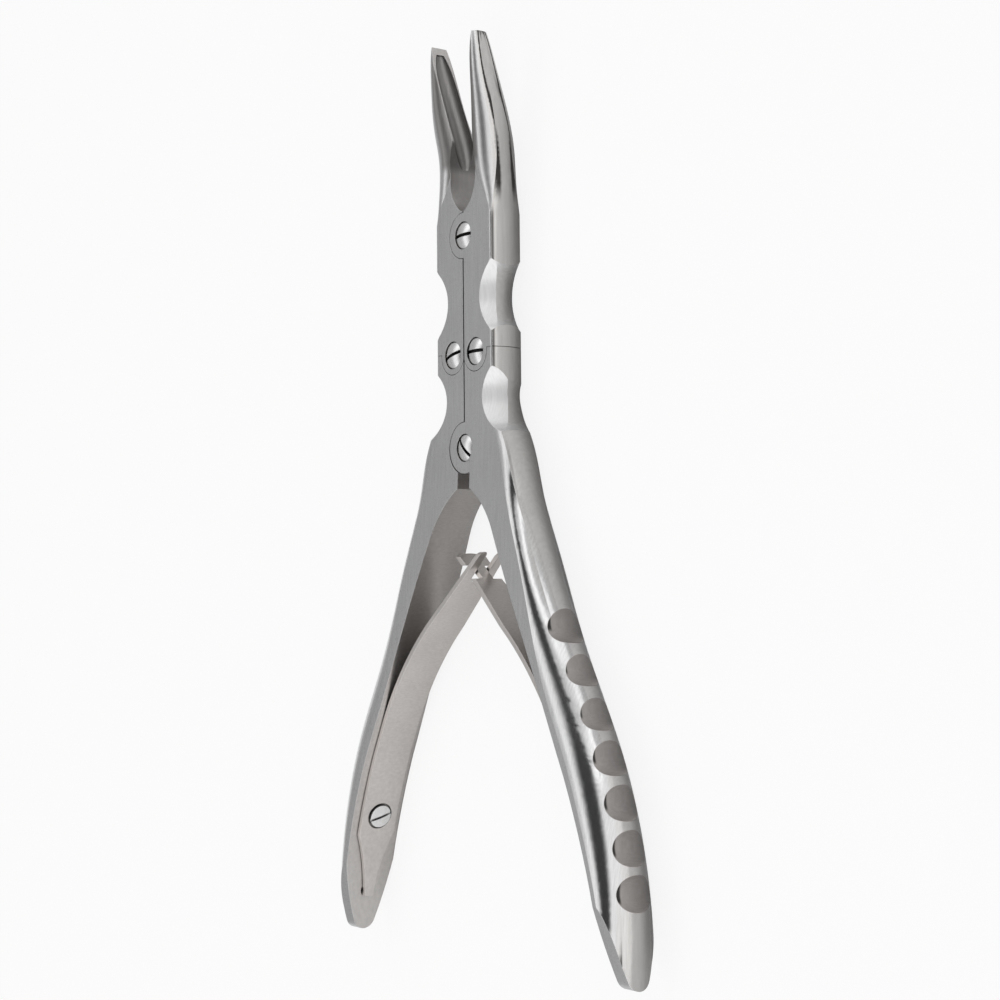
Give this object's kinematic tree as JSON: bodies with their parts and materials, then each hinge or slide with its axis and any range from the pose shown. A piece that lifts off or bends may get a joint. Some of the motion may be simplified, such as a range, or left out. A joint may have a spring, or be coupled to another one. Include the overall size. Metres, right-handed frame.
{
  "type": "bone rongeur",
  "caption": "Double-action surgical bone rongeur: cupped, forward-curved jaws on a compound lever joint, splayed grip handles and crossed leaf springs.",
  "frame": {"origin": "centre of the footprint at table height, with the instrument lying on its back", "axes": "+X across the instrument to the right half, +Y along it towards the jaws, +Z out of its front face, the way the jaw tips curve"},
  "size_m": [0.1258, 0.2382, 0.016],
  "materials": {
    "jaw_steel": "satin stainless steel with polished edges",
    "handle_steel": "satin stainless steel with polished edges",
    "spring_steel": "satin spring steel",
    "screw_steel": "polished stainless steel"
  },
  "bodies": {
    "left_handle": {"left_handle": "handle_steel", "handle_pivot_screw": "screw_steel", "left_link_screw": "screw_steel", "left_spring_screw": "screw_steel"},
    "right_handle": {"right_handle": "handle_steel", "right_link_screw": "screw_steel", "right_spring_screw": "screw_steel"},
    "left_jaw": {"left_jaw": "jaw_steel", "jaw_pivot_screw": "screw_steel"},
    "right_jaw": {"right_jaw": "jaw_steel"},
    "left_spring": {"left_leaf_spring": "spring_steel"},
    "right_spring": {"right_leaf_spring": "spring_steel"}
  },
  "joints": [
    {"name": "handle_pivot", "type": "hinge", "parent": "left_handle", "child": "right_handle", "pos_m": [0, 0.0118, 0.00785], "axis": [0, 0, -1], "range_deg": [0, 25.24], "stiffness_Nm_per_rad": 1.2, "springref_deg": -17.19, "deforming": ["left_leaf_spring", "right_leaf_spring"]},
    {"name": "left_link", "type": "hinge", "parent": "left_handle", "child": "left_jaw", "pos_m": [-0.00504, 0.0365, 0.00785], "axis": [0, 0, -1], "range_deg": [0, 22.58]},
    {"name": "right_link", "type": "hinge", "parent": "right_handle", "child": "right_jaw", "pos_m": [0.00504, 0.0365, 0.00785], "axis": [0, 0, 1], "range_deg": [0, 22.58]},
    {"name": "left_spring_bend", "type": "hinge", "parent": "left_handle", "child": "left_spring", "pos_m": [-0.0352, -0.0545, 0.00785], "axis": [0, 0, 1], "range_deg": [0, 9.26]},
    {"name": "right_spring_bend", "type": "hinge", "parent": "right_handle", "child": "right_spring", "pos_m": [0.0352, -0.0545, 0.00785], "axis": [0, 0, -1], "range_deg": [0, 9.26]}
  ],
  "couplings": [
    {"joint": "left_link", "follows": "handle_pivot", "ratio": 0.89377},
    {"joint": "right_link", "follows": "handle_pivot", "ratio": 0.89377},
    {"joint": "left_spring_bend", "follows": "handle_pivot", "ratio": 0.3659},
    {"joint": "right_spring_bend", "follows": "handle_pivot", "ratio": 0.3659}
  ]
}
